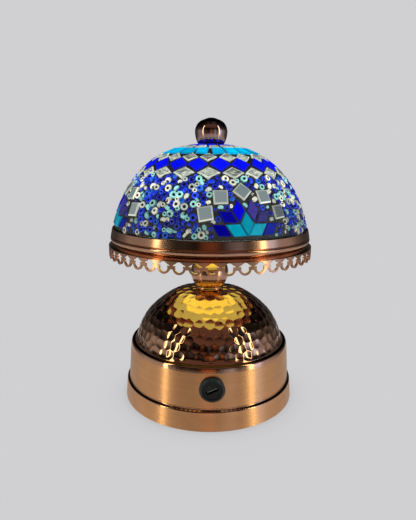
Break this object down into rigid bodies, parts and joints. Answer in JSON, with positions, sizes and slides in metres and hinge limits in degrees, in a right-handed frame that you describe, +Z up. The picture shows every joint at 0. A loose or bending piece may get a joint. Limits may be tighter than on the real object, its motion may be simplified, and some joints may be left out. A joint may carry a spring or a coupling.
{
  "type": "mosaic glass table lamp",
  "caption": "Cordless table lamp with a blue glass mosaic half-dome shade, openwork copper gallery, ball neck and hammered copper base with a charging socket.",
  "frame": {"origin": "centre of the underside, on the surface the lamp stands on", "axes": "+Z up along the lamp's axis, -Y towards the charging socket, +X to its right seen from the front"},
  "size_m": [0.1342, 0.1342, 0.1874],
  "materials": {
    "brushed_copper": "copper plated, brushed round",
    "polished_copper": "copper plated, polished",
    "bronze_ball": "antique bronze plated, polished",
    "plated_steel": "zinc plated",
    "brass_terminal": "bright",
    "fibre_washer": "vulcanised fibre",
    "black_plastic": "fine matt",
    "white_plastic": "moulded",
    "clear_lens": "dark clear indicator",
    "soft_rubber": "silicone",
    "felt": "pressed felt",
    "glow_plate": "opal acrylic, lit warm yellow",
    "led_board": "white solder mask on aluminium",
    "led_chip": "phosphor, lit",
    "shade_glass": "blown, lightly frosted",
    "dark_grout": "dark grout with glass grit",
    "cobalt_glass": "lit cobalt glass tile",
    "cyan_glass": "lit cyan glass tile",
    "turquoise_glass": "turquoise glass tile",
    "clear_bevel_glass": "clear ribbed tile with silver back",
    "mirror_glass": "bevelled mirror tile",
    "bead_glass": "seed beads in cobalt, aqua and clear",
    "cell_wrap": "heat-shrink sleeve",
    "green_board": "solder mask",
    "chip_black": "moulded epoxy",
    "lead_black": "silicone wire",
    "lead_red": "silicone wire",
    "lead_white": "silicone wire"
  },
  "bodies": {
    "root": {"base_drum": "brushed_copper", "hammered_dome": "polished_copper", "neck_foot": "polished_copper", "neck_ball": "polished_copper", "neck_sleeve": "polished_copper", "gallery_fringe": "polished_copper", "gallery_tray": "polished_copper", "threaded_tube": "plated_steel", "tube_nuts": "plated_steel", "tube_washer": "plated_steel", "tray_spider": "plated_steel", "bottom_screws": "plated_steel", "board_screws": "plated_steel", "bottom_plate": "plated_steel", "base_brackets": "plated_steel", "battery_contacts": "plated_steel", "port_receptacle": "plated_steel", "touch_terminal": "brass_terminal", "insulating_washers": "fibre_washer", "tube_bushes": "black_plastic", "board_pillars": "black_plastic", "battery_holder": "black_plastic", "port_housing": "black_plastic", "port_nut": "black_plastic", "port_tongue": "black_plastic", "board_connectors": "white_plastic", "port_indicator": "clear_lens", "shade_seat_ring": "soft_rubber", "felt_pad": "felt", "diffuser_plate": "glow_plate", "led_board": "led_board", "leds_upper": "led_chip", "leds_lower": "led_chip", "battery_cell": "cell_wrap", "charge_board": "green_board", "board_chips": "chip_black", "port_lead": "lead_black", "lamp_lead": "lead_white", "battery_lead_plus": "lead_red", "battery_lead_minus": "lead_black", "touch_lead": "lead_white"},
    "shade": {"shade_glass": "shade_glass", "mosaic_bed": "dark_grout", "rim_plaster": "dark_grout", "tiles_cobalt_star": "cobalt_glass", "tiles_cobalt_flower": "cobalt_glass", "tiles_cyan_ring": "cyan_glass", "tiles_turquoise": "turquoise_glass", "tiles_clear_crown": "clear_bevel_glass", "tiles_mirror": "mirror_glass", "seed_beads": "bead_glass", "finial_stud": "plated_steel", "stud_pads": "soft_rubber", "stud_washer": "plated_steel", "stud_nut": "plated_steel"},
    "finial": {"finial_ball": "bronze_ball"}
  },
  "joints": [
    {"name": "shade_lift", "type": "slide", "parent": "root", "child": "shade", "axis": [0, 0, 1], "range_m": [0, 0.08]},
    {"name": "finial_turn", "type": "hinge", "parent": "shade", "child": "finial", "pos_m": [0, 0, 0.179], "axis": [0, 0, 1], "continuous": true}
  ]
}
